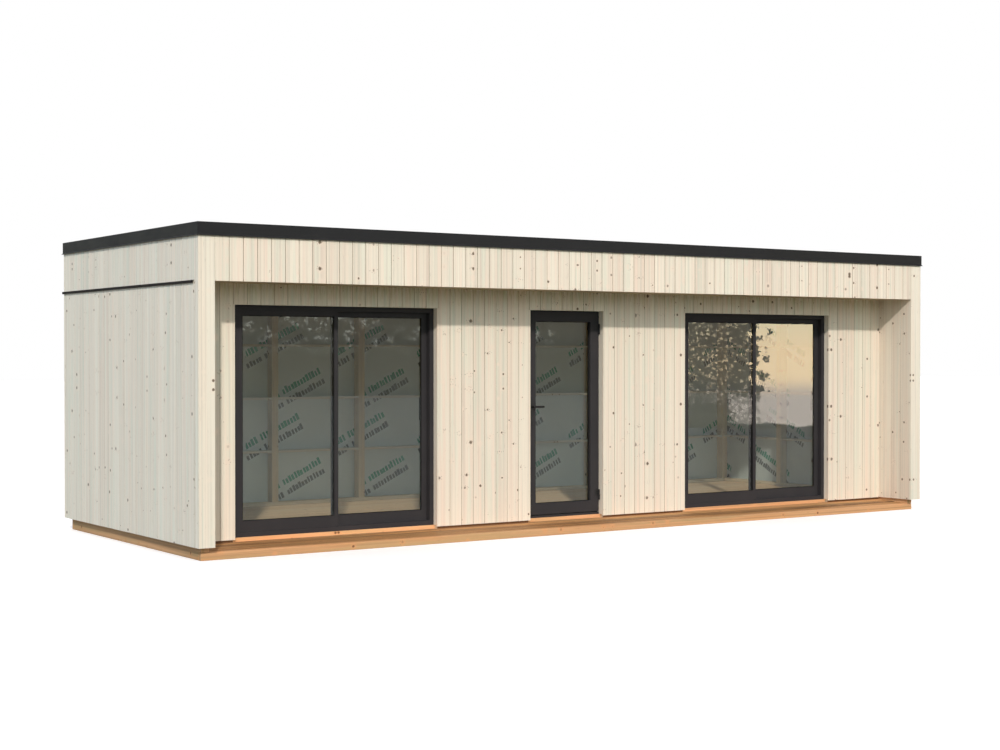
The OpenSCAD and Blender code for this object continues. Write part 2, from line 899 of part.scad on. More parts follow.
// One lever with its plate, drawn on a face towards -Y
module lever() {
    plate_w = 26;
    plate_h = 210;
    plate_low = 150;
    plate_d = 6;
    bar_r = 9;
    key_out = 12;
    translate([-plate_w / 2, -plate_d, -plate_low]) cube([plate_w, plate_d, plate_h]);
    rotate([90, 0, 0]) cylinder(r = bar_r, h = lever_out);
    translate([0, -lever_out, 0]) {
        sphere(r = bar_r);
        rotate([0, 90, 0]) cylinder(r = bar_r, h = lever_len - bar_r);
        translate([lever_len - bar_r, 0, 0]) sphere(r = bar_r);
    }
    // key cylinder
    translate([0, 0, -key_drop]) rotate([90, 0, 0]) cylinder(r = bar_r, h = key_out);
}

// Levers outside and inside
module door_handles() {
    hx = leaf_x0 + lever_in;
    color(steel) {
        translate([hx, leaf_y, handle_h]) lever();
        translate([hx, leaf_y + leaf_t, handle_h]) mirror([0, 1, 0]) lever();
    }
}

// Frame part of each hinge: lower knuckle, pin and a plate back to the jamb
module door_frame_hinges() {
    half = hinge_len / 2;
    color(steel)
    for (z = [hinge_low, hinge_high]) {
        translate([axis_x, axis_y, z - half]) {
            cylinder(r = knuckle_r, h = half - roller_gap);
            cylinder(r = pin_r, h = hinge_len);
        }
        block([axis_x, axis_y - plate_t / 2, z - half],
              [door_x + door_w, axis_y + plate_t / 2, z - roller_gap]);
        block([door_x + door_w - plate_t, axis_y - plate_t / 2, z - half],
              [door_x + door_w, jamb_y, z - roller_gap]);
    }
}

// Leaf part of each hinge: upper knuckle with its bore and a plate on the leaf
module door_leaf_hinges() {
    half = hinge_len / 2;
    color(steel)
    for (z = [hinge_low, hinge_high])
        difference() {
            union() {
                translate([axis_x, axis_y, z]) cylinder(r = knuckle_r, h = half);
                block([axis_x - hinge_plate_w, leaf_y - plate_t, z], [axis_x, leaf_y, z + half]);
            }
            translate([axis_x, axis_y, z - eps])
                cylinder(r = pin_r + pin_gap, h = half + 2 * eps);
        }
}

// ---------- Nodes ----------

in_frame() side_base_beams();
in_frame() cross_base_beams();
in_frame() floor_joists();
in_frame() recess_deck();
in_frame() floor_boards();
in_frame() wall_plates();
in_frame() wall_studs();
in_frame() wall_noggins();
in_frame() front_header_beam();
in_frame() wind_membrane();
in_frame() front_wall_cladding();
in_frame() front_header_cladding();
in_frame() wing_cladding();
in_frame() side_wall_cladding();
in_frame() back_wall_cladding();
in_frame() front_frieze();
in_frame() side_friezes();
in_frame() back_frieze();
in_frame() joint_flashing();
in_frame() recess_soffit();
in_frame() roof_rafters();
in_frame() side_roof_rims();
in_frame() end_roof_rims();
in_frame() roof_boards();
in_frame() roof_covering();
in_frame() roof_trim();
in_frame() door_sills();
in_frame() reveal_linings();
in_frame() door_frame();
in_frame() door_frame_hinges();
in_frame() door_leaf();
in_frame() door_glass();
in_frame() door_handles();
in_frame() door_leaf_hinges();
in_frame() slider_frames();
in_frame() fixed_sashes();
in_frame() fixed_glass();
in_frame() sliding_sash(left_x);  // left_sliding_sash
in_frame() sliding_glass(left_x);  // left_sliding_glass
in_frame() pull_handle(left_x);  // left_pull_handle
in_frame() sliding_sash(right_x);  // right_sliding_sash
in_frame() sliding_glass(right_x);  // right_sliding_glass
in_frame() pull_handle(right_x);  // right_pull_handle
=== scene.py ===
# %% [markdown]
# # A timber guest cabin
# The cabin is a long box with a flat roof, clad all round in pale upright boards. Its
# front is set back under the roof, with a sliding glass door at each end and a hinged
# glazed door between them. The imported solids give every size. This file turns the plain
# slabs into single boards and timbers, and gives each surface its finish.

# %% Load the solids and measure them
import math
import random

import bmesh
import bpy
from mathutils import Matrix, Vector


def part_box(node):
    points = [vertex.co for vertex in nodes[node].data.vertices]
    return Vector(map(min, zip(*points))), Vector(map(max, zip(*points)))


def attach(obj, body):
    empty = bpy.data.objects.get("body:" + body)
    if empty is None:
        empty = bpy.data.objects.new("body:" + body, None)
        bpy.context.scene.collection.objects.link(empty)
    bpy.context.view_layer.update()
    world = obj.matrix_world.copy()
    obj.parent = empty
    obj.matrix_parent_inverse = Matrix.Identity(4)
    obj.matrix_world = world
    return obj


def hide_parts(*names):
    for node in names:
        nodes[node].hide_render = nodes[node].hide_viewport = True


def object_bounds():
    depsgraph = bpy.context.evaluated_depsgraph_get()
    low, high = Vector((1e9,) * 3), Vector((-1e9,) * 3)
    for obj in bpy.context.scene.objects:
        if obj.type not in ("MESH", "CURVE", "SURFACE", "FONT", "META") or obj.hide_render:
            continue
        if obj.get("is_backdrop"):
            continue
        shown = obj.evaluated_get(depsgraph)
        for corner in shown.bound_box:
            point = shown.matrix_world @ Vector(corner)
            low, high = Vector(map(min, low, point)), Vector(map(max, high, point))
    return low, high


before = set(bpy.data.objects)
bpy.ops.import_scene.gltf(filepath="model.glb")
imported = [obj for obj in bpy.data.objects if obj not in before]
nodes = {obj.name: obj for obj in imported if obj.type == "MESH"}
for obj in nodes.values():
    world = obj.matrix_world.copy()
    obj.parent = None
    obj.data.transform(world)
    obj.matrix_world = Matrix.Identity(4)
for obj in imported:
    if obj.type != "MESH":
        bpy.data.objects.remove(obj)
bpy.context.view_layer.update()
X, Y, Z = 0, 1, 2
WHITE = (1, 1, 1, 1)
BOARDS_BETWEEN_WINGS = 64
LINING = 0.010    # thickness of a lining board, which a cladding board covers
JAMB = 0.045      # from a sliding sash to the outside of its frame
MIRROR_Z = 1.36   # the height about which the knots of tall boards pair off

header_low, header_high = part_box("front_header_cladding")
side_low, side_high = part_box("side_wall_cladding")
frieze_low, frieze_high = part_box("front_frieze")
board = (header_high.x - header_low.x) / BOARDS_BETWEEN_WINGS
left, right = side_low.x, side_high.x
thick = 0.020
front, back = frieze_low.y, side_high.y + thick
print(f"cabin {right - left:.3f} m long, {back - front:.3f} m deep; boards cover {board:.4f} m")

# %% [markdown]
# ## Camera and light
# The camera stands at head height, well to the left of the cabin's front corner, and
# looks level across it. A warm sun stands low on the left behind it, so that the front is
# bright, the left wall is grazed, and the frieze throws its shadow on the recess. A plain
# pale sky fills the shade.

# %% Camera
camera_data = bpy.data.cameras.new("camera")
camera_data.sensor_width = 36.0
camera_data.lens = 60.3
camera = bpy.data.objects.new("camera", camera_data)
bpy.context.scene.collection.objects.link(camera)
camera.location = (-9.250, -13.466, 1.586)
camera.rotation_euler = (math.radians(90 - 0.648), 0.0, math.radians(-33.872))
bpy.context.scene.camera = camera
print("camera lens", camera_data.lens)

# %% Sun
sun_data = bpy.data.lights.new("sun", "SUN")
sun_data.energy = 2.16
sun_data.color = (1.0, 0.91, 0.825)
sun_data.angle = math.radians(2.2)
sun = bpy.data.objects.new("sun", sun_data)
bpy.context.scene.collection.objects.link(sun)
sun.rotation_mode = "QUATERNION"
shining = Vector((0.58, 1.0, -0.713))
sun.rotation_quaternion = shining.to_track_quat("-Z", "Y")
print("sun strength", sun_data.energy)


# %% [markdown]
# A node tree is easier to read when each node takes one line. `add` makes a node, sets
# its properties, and links or fills its inputs by name or by number.

# %% A short way to write node trees
def add(tree, kind, inputs=None, **settings):
    node = tree.nodes.new(kind)
    for key, value in settings.items():
        setattr(node, key, value)
    for key, value in (inputs or {}).items():
        socket = node.inputs[key]
        if isinstance(value, bpy.types.NodeSocket):
            tree.links.new(value, socket)
        else:
            socket.default_value = value
    return node


def maths(tree, operation, a, b=0.0, c=0.0, clamp=False):
    node = add(tree, "ShaderNodeMath", {0: a, 1: b, 2: c}, operation=operation)
    node.use_clamp = clamp
    return node.outputs[0]


def times(tree, a, b, clamp=False):
    return maths(tree, "MULTIPLY", a, b, clamp=clamp)


def scaled(tree, value, factor, offset):
    """The value times a factor, plus an offset."""
    return maths(tree, "MULTIPLY_ADD", value, factor, offset)


def vector(tree, operation, a, b):
    node = add(tree, "ShaderNodeVectorMath", {0: a, 1: b}, operation=operation)
    return node.outputs["Value" if operation == "DOT_PRODUCT" else "Vector"]


def axes(tree, value):
    return add(tree, "ShaderNodeSeparateXYZ", {0: value}).outputs


def channels(tree, value):
    return add(tree, "ShaderNodeSeparateColor", {0: value}).outputs


def grey_of(tree, value):
    return add(tree, "ShaderNodeCombineColor", {0: value, 1: value, 2: value}).outputs[0]


def noise(tree, at, scale, detail, output="Fac"):
    node = add(tree, "ShaderNodeTexNoise", {"Vector": at, "Scale": scale, "Detail": detail})
    return node.outputs[output]


def mix(tree, share, a, b, blend="MIX"):
    node = add(tree, "ShaderNodeMix", data_type="RGBA", blend_type=blend)
    for name, value in (("Factor_Float", share), ("A_Color", a), ("B_Color", b)):
        socket = next(s for s in node.inputs if s.identifier == name)
        if isinstance(value, bpy.types.NodeSocket):
            tree.links.new(value, socket)
        else:
            socket.default_value = value
    return next(s for s in node.outputs if s.identifier == "Result_Color")


def ramp(tree, value, low, high, to_low=0.0, to_high=1.0, smooth=True):
    node = add(tree, "ShaderNodeMapRange",
               {"Value": value, "From Min": low, "From Max": high,
                "To Min": to_low, "To Max": to_high},
               interpolation_type="SMOOTHSTEP" if smooth else "LINEAR")
    return node.outputs["Result"]


def empty_tree(owner):
    owner.use_nodes = True
    owner.node_tree.nodes.clear()
    return owner.node_tree


def object_place(tree):
    return add(tree, "ShaderNodeTexCoord").outputs["Object"]


def surface(tree, colour, rough, height, strength, distance, shine=0.5, metallic=0.0):
    """Ends a tree with one shader whose bumps stand up by a height."""
    bump = add(tree, "ShaderNodeBump",
               {"Strength": strength, "Distance": distance, "Height": height})
    skin = add(tree, "ShaderNodeBsdfPrincipled",
               {"Base Color": colour, "Roughness": rough, "Metallic": metallic,
                "Specular IOR Level": shine, "Normal": bump.outputs[0]})
    add(tree, "ShaderNodeOutputMaterial", {"Surface": skin.outputs[0]})


print("node helpers ready")

# %% [markdown]
# The sky lights the cabin softly, a little bluer from the back on the left, and shows as
# plain white behind it. Mirrored rays see a dim band along the horizon, with a warm glow in
# one quarter of it, so that the panes show where they mirror the open sky.

# %% Sky light
world = bpy.data.worlds.new("studio sky")
bpy.context.scene.world = world
tree = empty_tree(world)
path = add(tree, "ShaderNodeLightPath").outputs
seen = maths(tree, "MAXIMUM", path["Is Camera Ray"], path["Is Transmission Ray"])
way = add(tree, "ShaderNodeTexCoord").outputs["Generated"]
x, y, rise = axes(tree, way)
back_left, front_left = (-0.8, 0.6, 0.0), (-0.75, -0.66, 0.0)
low_sky, high_sky, top_sky = (0.60, 0.75, 0.58, 1), (0.96, 1.10, 1.03, 1), (0.30, 0.15, 0.20, 1)
left_sky, right_sky = (0.74, 0.86, 1.01, 1), (1.35, 1.24, 1.24, 1)
fill = mix(tree, ramp(tree, rise, 0.05, 0.20), low_sky, high_sky)
fill = mix(tree, ramp(tree, rise, 0.58, 0.72), fill, top_sky)
to_left = ramp(tree, vector(tree, "DOT_PRODUCT", way, back_left), -0.5, 0.9)
fill = mix(tree, to_left, fill, left_sky)
fill = mix(tree, ramp(tree, x, 0.05, 0.95), fill, right_sky)
level = ramp(tree, rise, 0.0, 0.45, 1.06, 0.98, smooth=False)
boost = ramp(tree, vector(tree, "DOT_PRODUCT", way, front_left), 0.6, 0.95, 1.0, 1.2)
fill = mix(tree, 1.0, fill, grey_of(tree, times(tree, level, boost)), "MULTIPLY")
print("sky light made")


# %% [markdown]
# Against the glow stands a tree: a broken crown, thin twigs beside it, a bush below and a
# trunk. `x` is the way along the horizon and `rise` the way up. Each mask has its own edge.

# %% Mirrored sky
def leaves(scale, low, high):
    """Broken patches on the mirrored sky, as leaves and twigs stand against it."""
    return ramp(tree, noise(tree, way, scale, 3.0), low, high)


HILL_TOP, CROWN_FOOT, BUSH_TOP = -0.0350, -0.0230, -0.0160
CROWN_EDGE, TWIG_EDGE, BUSH_EDGE, TRUNK_AT = 0.6858, 0.6845, 0.6720, 0.6625
haze = mix(tree, ramp(tree, rise, 0.02, 0.30), (0.16, 0.15, 0.06, 1), (0.40, 0.43, 0.48, 1))
dusk = mix(tree, ramp(tree, rise, -0.026, -0.010), (6.4, 5.6, 5.0, 1), (13.6, 10.3, 6.2, 1))
dusk = mix(tree, ramp(tree, rise, 0.0, 0.024), dusk, (12.0, 10.3, 6.5, 1))
hill = scaled(tree, noise(tree, way, 90.0, 2.0), 0.008, rise)
dusk = mix(tree, ramp(tree, hill, HILL_TOP - 0.0015, HILL_TOP), (0.2, 0.2, 0.18, 1), dusk)
edge = scaled(tree, leaves(170.0, 0.3, 0.7), 0.010, x)
edge = scaled(tree, leaves(600.0, 0.3, 0.7), 0.0045, edge)
low_edge = scaled(tree, leaves(500.0, 0.3, 0.7), 0.008, rise)
# the gaps between the leaves: round specks at shaken places
shake = noise(tree, way, 900.0, 2.0, "Color")
shaken = add(tree, "ShaderNodeVectorMath", {0: shake, 1: (0.0032, 0.0032, 0.0032), 2: way},
             operation="MULTIPLY_ADD").outputs["Vector"]
specks = add(tree, "ShaderNodeTexVoronoi", {"Vector": shaken, "Scale": 470.0},
             feature="F1").outputs
wide = ramp(tree, rise, -0.018, -0.030, 0.46, 0.62)
gaps = times(tree, maths(tree, "SUBTRACT", wide, specks["Distance"]), 3.6, clamp=True)
some = ramp(tree, channels(tree, specks["Color"])[0], 0.1, 0.6)
gaps = times(tree, gaps, times(tree, some, leaves(200.0, 0.22, 0.42)))
crown = times(tree, ramp(tree, edge, CROWN_EDGE, CROWN_EDGE - 0.0015),
              ramp(tree, low_edge, CROWN_FOOT, CROWN_FOOT + 0.004))
crown = times(tree, crown, scaled(tree, gaps, -0.62, 1.0))
twigs = times(tree, ramp(tree, edge, TWIG_EDGE, TWIG_EDGE - 0.0015), scaled(tree, gaps, -1.0, 1.0))
bush = ramp(tree, edge, BUSH_EDGE, BUSH_EDGE - 0.0030)
trunk = ramp(tree, maths(tree, "ABSOLUTE", maths(tree, "SUBTRACT", x, TRUNK_AT)), 0.0024, 0.0014)
low_part = maths(tree, "MAXIMUM", maths(tree, "MAXIMUM", times(tree, twigs, 0.65), bush), trunk)
low_part = times(tree, low_part, ramp(tree, low_edge, BUSH_TOP, BUSH_TOP - 0.006))
clear = scaled(tree, maths(tree, "MAXIMUM", crown, low_part), -0.965, 1.0)
open_sky = times(tree, ramp(tree, x, 0.630, 0.646), ramp(tree, rise, 0.22, 0.04))
open_sky = times(tree, open_sky, ramp(tree, x, 0.735, 0.712))
open_sky = times(tree, open_sky, times(tree, ramp(tree, y, 0.0, -0.1), clear))
# small glints between far leaves, in the left panes
glints = times(tree, leaves(420.0, 0.47, 0.57), leaves(110.0, 0.45, 0.55))
glints = times(tree, glints, leaves(850.0, 0.44, 0.56))
glints = times(tree, glints, ramp(tree, rise, -0.003, 0.012))
glints = times(tree, glints, ramp(tree, x, 0.60, 0.57))
haze = mix(tree, glints, haze, (3.3, 3.4, 3.0, 1))
mirror = mix(tree, open_sky, haze, dusk)
lit = mix(tree, path["Is Glossy Ray"], fill, mirror)
ground = add(tree, "ShaderNodeBackground", {"Color": mix(tree, seen, lit, WHITE), "Strength": 1.0})
add(tree, "ShaderNodeOutputWorld", {"Surface": ground.outputs[0]})
print("sky made with", len(tree.nodes), "nodes")


# %% [markdown]
# The floor is a plain pale sheet. A little of its brightness is given to the camera only,
# so that it reads as white paper and still keeps the cabin's shadow.

# %% Floor
mesh = bpy.data.meshes.new("studio_floor")
bm = bmesh.new()
# a notch at the front lets one pane mirror the open sky
outline = ((-90, 90), (-90, -47), (38.0, -47), (14.3, -17.6), (16.2, -15.6), (90, -15.6), (90, 90))
bm.faces.new([bm.verts.new((x, y, 0.0)) for x, y in outline])
bm.to_mesh(mesh)
bm.free()
floor = bpy.data.objects.new("studio_floor", mesh)
bpy.context.scene.collection.objects.link(floor)
floor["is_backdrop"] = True
material = bpy.data.materials.new("studio floor")
tree = empty_tree(material)
path = add(tree, "ShaderNodeLightPath").outputs
seen = maths(tree, "MAXIMUM", path["Is Camera Ray"], path["Is Transmission Ray"])
ground_x, ground_y, _ = axes(tree, object_place(tree))
aside = scaled(tree, ground_y, 0.849, ground_x)
beyond = scaled(tree, ground_y, 0.677, times(tree, ground_x, 0.736))
brighter = times(tree, ramp(tree, beyond, 0.9, 1.3), ramp(tree, ground_y, -16.0, -9.0))
dim = times(tree, ramp(tree, aside, 0.3, 1.2), scaled(tree, brighter, -0.55, 1.0))
mirrored = mix(tree, dim, (0.44, 0.53, 0.51, 1), (0.10, 0.10, 0.09, 1))
colour = mix(tree, path["Is Glossy Ray"], (0.13, 0.12, 0.08, 1), mirrored)
colour = mix(tree, seen, colour, (0.86, 0.86, 0.86, 1))
paper = add(tree, "ShaderNodeBsdfDiffuse", {"Color": colour})
glow = add(tree, "ShaderNodeEmission", {"Color": WHITE, "Strength": times(tree, seen, 0.30)})
both = add(tree, "ShaderNodeAddShader", {0: paper.outputs[0], 1: glow.outputs[0]})
add(tree, "ShaderNodeOutputMaterial", {"Surface": both.outputs[0]})
mesh.materials.append(material)
print("floor made")


# %% [markdown]
# ## Timber finish
# All the timber shares one node group. It reads a UV map on which every board has its own
# place: the whole part of U is the board's number and the rest is the distance across it,
# while V runs along it, both in metres. From that the group draws growth rings, long
# streaks, and knots with the grain parting round them, and it shifts each board's tone.

# %% The timber group
def timber_group():
    group = bpy.data.node_groups.new("Timber grain", "ShaderNodeTree")
    face = group.interface
    for name, kind, value in (
        ("Place", "NodeSocketVector", None),
        ("Pale", "NodeSocketColor", (0.85, 0.74, 0.58, 1)),
        ("Warm", "NodeSocketColor", (0.80, 0.62, 0.42, 1)),
        ("Cool", "NodeSocketColor", (0.80, 0.76, 0.62, 1)),
        ("Knot", "NodeSocketColor", (0.16, 0.09, 0.05, 1)),
        ("Spread", "NodeSocketFloat", 0.08),
        ("Ring depth", "NodeSocketFloat", 0.12),
        ("Knot size", "NodeSocketFloat", 1.0),
    ):
        socket = face.new_socket(name, in_out="INPUT", socket_type=kind)
        if value is not None:
            socket.default_value = value
    face.new_socket("Colour", in_out="OUTPUT", socket_type="NodeSocketColor")
    face.new_socket("Height", in_out="OUTPUT", socket_type="NodeSocketFloat")
    face.new_socket("Roughness", in_out="OUTPUT", socket_type="NodeSocketFloat")
    given = group.nodes.new("NodeGroupInput").outputs
    u, along, _ = axes(group, given["Place"])
    number = maths(group, "ROUND", u)
    across = maths(group, "SUBTRACT", u, number)

    def die(offset):
        node = add(group, "ShaderNodeTexWhiteNoise",
                   {"W": maths(group, "ADD", number, offset)}, noise_dimensions="1D")
        return node.outputs["Value"]

    cut = times(group, die(0.71), 40.0)
    v = maths(group, "ADD", along, cut)

    def streaks(wide, long, seed, detail):
        at = add(group, "ShaderNodeCombineXYZ",
                 {0: times(group, across, wide), 1: times(group, v, long),
                  2: times(group, number, seed)}).outputs[0]
        return noise(group, at, 1.0, detail)

    # knots: one possible knot in each cell of a loose grid, most in pairs about the middle
    cells = 4.9
    paired = maths(group, "ADD", maths(group, "ABSOLUTE", along), cut)
    spot = add(group, "ShaderNodeCombineXYZ", {0: u, 1: paired}).outputs[0]
    knots = add(group, "ShaderNodeTexVoronoi", {"Vector": spot, "Scale": cells},
                voronoi_dimensions="2D", feature="F1").outputs
    wobble = scaled(group, noise(group, spot, 110.0, 2.0), 0.014, -0.007)
    reach = maths(group, "ADD", maths(group, "DIVIDE", knots["Distance"], cells), wobble)
    luck = channels(group, knots["Color"])
    size = scaled(group, maths(group, "POWER", luck[0], 1.5), 0.0105, 0.0040)
    size = times(group, size, given["Knot size"])
    # a whorl: pin knots lie beside the larger knot, at its height
    off_x, off_y, _ = axes(group, vector(group, "SUBTRACT", spot, knots["Position"]))
    beside = times(group, maths(group, "ABSOLUTE", off_y), 2.6)
    beside = maths(group, "ADD", beside, maths(group, "ABSOLUTE", off_x))
    pins = add(group, "ShaderNodeTexVoronoi", {"Vector": spot, "Scale": 48.0},
               voronoi_dimensions="2D", feature="F1").outputs
    pin = times(group, ramp(group, pins["Distance"], 0.24, 0.10),
                ramp(group, beside, 0.085, 0.055))
    kept = maths(group, "GREATER_THAN", channels(group, pins["Color"])[0], 0.45)
    pin = times(group, times(group, pin, kept), maths(group, "GREATER_THAN", luck[2], 0.62))
    from_core = maths(group, "DIVIDE", reach, size)
    core = times(group, ramp(group, from_core, 1.3, 0.6), ramp(group, luck[1], 0.30, 0.62))
    core = maths(group, "MAXIMUM", core, times(group, pin, 0.60))
    halo = ramp(group, from_core, 3.8, 0.9)
    parted = times(group, ramp(group, reach, 0.060, 0.0),
                   ramp(group, size, 0.003, 0.009, 0.1, 1.0))
    # growth rings: the board is cut at its own distance from the heart of a tapering log,
    # so its rings run as long flames near its middle, and they part round the knots
    from_heart = maths(group, "ADD", across, scaled(group, die(0.53), 0.09, -0.045))
    from_heart = scaled(group, streaks(3.0, 0.9, 3.71, 3.0), 0.05, from_heart)
    depth = scaled(group, along, 0.008, scaled(group, die(0.19), 0.05, 0.012))
    radius = maths(group, "ADD", times(group, from_heart, from_heart), times(group, depth, depth))
    radius = maths(group, "SQRT", radius)
    turn = scaled(group, streaks(30.0, 1.2, 9.1, 2.0), 0.9, times(group, radius, 210.0))
    ring = maths(group, "FRACT", scaled(group, parted, 1.6, turn))
    ring = maths(group, "POWER", ring, 2.0)
    # broad tints, long streaks and fine fibres
    fibre = streaks(900.0, 14.0, 1.0, 1.0)
    warm = ramp(group, streaks(22.0, 0.55, 7.13, 3.0), 0.42, 0.66)
    warm = scaled(group, die(0.37), 0.4, warm)
    tone = mix(group, times(group, warm, 0.8, clamp=True), given["Pale"], given["Warm"])
    cool = ramp(group, streaks(16.0, 0.8, 5.29, 2.0), 0.50, 0.70)
    cool = scaled(group, maths(group, "POWER", die(0.0), 2.0), 0.5, cool)
    tone = mix(group, times(group, cool, 0.8, clamp=True), tone, given["Cool"])
    shade = scaled(group, die(0.37), -0.6, 0.3)
    dark = ramp(group, streaks(55.0, 0.30, 2.17, 5.0), 0.46, 0.68)
    pale = ramp(group, streaks(38.0, 0.45, 4.83, 4.0), 0.52, 0.74)
    shade = scaled(group, dark, -0.95, shade)
    shade = scaled(group, pale, 0.45, shade)
    shade = scaled(group, shade, given["Spread"], 1.0)
    shade = maths(group, "SUBTRACT", shade, times(group, ring, given["Ring depth"]))
    shade = scaled(group, fibre, 0.05, maths(group, "SUBTRACT", shade, 0.025))
    fleck = ramp(group, streaks(260.0, 11.0, 3.3, 2.0), 0.66, 0.80)
    shade = scaled(group, fleck, -0.30, shade)
    tone = mix(group, 1.0, tone, grey_of(group, shade), "MULTIPLY")
    tone = mix(group, times(group, halo, 0.55), tone, given["Warm"])
    tone = mix(group, times(group, core, 0.9), tone, given["Knot"])
    height = times(group, ring, -0.6)
    height = scaled(group, fibre, 0.4, height)
    height = scaled(group, core, -0.8, height)
    rough = scaled(group, fibre, 0.15, 0.58)
    rough = scaled(group, core, -0.15, rough)
    add(group, "NodeGroupOutput", {"Colour": tone, "Height": height, "Roughness": rough})
    return group


timber = timber_group()
print("timber group with", len(timber.nodes), "nodes")


# %% [markdown]
# Each kind of timber places the group with its own colours: the pale washed cladding, the
# planed spruce of the frames inside, and the oiled brown base and deck.

# %% The timber materials
def timber_material(name, pale, warm, cool, knot, spread, rings, knot_size=1.0, stain_and_shade_top=None,
                    shine=0.25):
    """A material that places the timber group. Stain and painted shade darken it up to a top
    height.
    """
    material = bpy.data.materials.new(name)
    tree = empty_tree(material)
    place = add(tree, "ShaderNodeUVMap", uv_map="boards").outputs[0]
    grain = add(tree, "ShaderNodeGroup",
                {"Place": place, "Pale": (*pale, 1), "Warm": (*warm, 1), "Cool": (*cool, 1),
                 "Knot": (*knot, 1), "Spread": spread, "Ring depth": rings,
                 "Knot size": knot_size}, node_tree=timber).outputs
    colour = grain["Colour"]
    if stain_and_shade_top:
        # olive streaks growing darker up to the top height: weather stain mixed with painted shade
        # under the soffit
        at = object_place(tree)
        high = ramp(tree, axes(tree, at)["Z"], stain_and_shade_top - 0.20, stain_and_shade_top, 0.0, 0.75)
        runs = noise(tree, vector(tree, "MULTIPLY", at, (26.0, 26.0, 2.2)), 5.0, 3.0)
        stain_and_shade = times(tree, ramp(tree, runs, 0.38, 0.66), high)
        stained_and_shaded = mix(tree, 1.0, colour, (0.76, 0.77, 0.60, 1), "MULTIPLY")
        colour = mix(tree, stain_and_shade, colour, stained_and_shaded)
    surface(tree, colour, grain["Roughness"], grain["Height"], 0.35, 0.0008, shine)
    return material


washed = ((0.87, 0.82, 0.715), (0.86, 0.765, 0.655), (0.80, 0.795, 0.69), (0.12, 0.075, 0.04))
# sunny is a warmer copy of the washed palette for the sunlit front faces: painted light
sunny = ((0.86, 0.79, 0.68), (0.87, 0.735, 0.625), (0.795, 0.77, 0.66), (0.10, 0.062, 0.032))
clad = timber_material("pale washed cladding", *washed, 0.11, 0.03)
wing_clad = timber_material("wing cladding", *washed, 0.13, 0.04, 1.1)
frieze_clad = timber_material("frieze cladding", *sunny, 0.14, 0.035, 1.25)
front_clad = timber_material("recess cladding", *sunny, 0.12, 0.03, 1.1, stain_and_shade_top=header_high.z,
                             shine=0.20)
groove = timber_material("shaded board joint", (0.50, 0.38, 0.27), (0.46, 0.34, 0.23),
                         (0.36, 0.32, 0.24), (0.10, 0.06, 0.04), 0.12, 0.10)
spruce = timber_material("planed spruce", (0.69, 0.59, 0.42), (0.64, 0.51, 0.345),
                         (0.655, 0.57, 0.42), (0.14, 0.07, 0.04), 0.14, 0.12)
floor_wood = timber_material("spruce floor", (0.86, 0.65, 0.42), (0.78, 0.54, 0.315),
                             (0.81, 0.645, 0.45), (0.14, 0.06, 0.03), 0.12, 0.14)
pale_spruce = timber_material("pale spruce", (0.65, 0.63, 0.55), (0.62, 0.58, 0.48),
                              (0.62, 0.60, 0.53), (0.20, 0.12, 0.07), 0.10, 0.06)
oiled = timber_material("oiled base timber", (0.87, 0.475, 0.25), (0.79, 0.38, 0.17),
                        (0.68, 0.42, 0.21), (0.16, 0.07, 0.03), 0.22, 0.10)
# a darker, cooler copy of the oil for the faces of the base that face the sides: painted shade
side_shade_oil = timber_material("oiled timber in painted side shade", (0.66, 0.39, 0.21), (0.595, 0.315, 0.14),
                           (0.52, 0.35, 0.18), (0.12, 0.06, 0.03), 0.24, 0.10)
# near-black brown for the front foot of the wall plates: a painted shadow under the boards
foot_shadow_brown = timber_material("wall foot in painted shadow", (0.25, 0.115, 0.055), (0.22, 0.10, 0.045),
                             (0.20, 0.11, 0.06), (0.08, 0.04, 0.02), 0.2, 0.1)
decking = timber_material("oiled deck boards", (0.68, 0.37, 0.16), (0.525, 0.25, 0.095),
                          (0.41, 0.26, 0.115), (0.10, 0.04, 0.02), 0.60, 0.30)
# the inner faces of the wings: a darker, pinker copy of the cladding, painted shade
shaded_wing_clad = timber_material("inner wing cladding in painted shade", (0.83, 0.76, 0.655), (0.82, 0.70, 0.59),
                            (0.78, 0.73, 0.63), (0.12, 0.075, 0.04), 0.11, 0.03)
# the soffit: a darker, browner copy of the cladding, painted shade under the frieze
under = timber_material("soffit boards", (0.62, 0.53, 0.38), (0.58, 0.47, 0.32),
                        (0.58, 0.51, 0.38), (0.12, 0.075, 0.04), 0.14, 0.06)
print("timber materials made")


# %% [markdown]
# ## Boards
# A board starts as a cube that is stretched to its size. Where it meets the next one it is
# cut back by half a groove, with its edge eased, and a tongue behind closes the groove. Its
# UVs are the board's own place on the timber group's map.

# %% One board
random.seed(7)
number = 0
OVERLAP = 0.001   # how far the tongue behind a groove reaches under the boards
TINY = 1e-5


def lay_uv(faces, layer, run, middle, this_number):
    """Gives faces their place on the board map: across the board in U, along it in V."""
    for face in faces:
        wide = max(range(3), key=lambda a: abs(face.normal[a]))
        for loop in face.loops:
            at = loop.vert.co - middle
            if wide == run:
                others = [a for a in range(3) if a != run]
                u, v = at[others[0]], at[others[1]] * 0.1
            else:
                other = next(a for a in range(3) if a not in (run, wide))
                u, v = at[other] + at[wide] * 0.5, at[run]
            loop[layer].uv = (this_number + max(-0.49, min(0.49, u)), v)


def add_box(bm, low, high):
    """A plain box between two corners. Gives back its vertices."""
    place = Matrix.Translation((low + high) / 2) @ Matrix.Diagonal((*(high - low), 1.0))
    return bmesh.ops.create_cube(bm, size=1.0, matrix=place)["verts"]


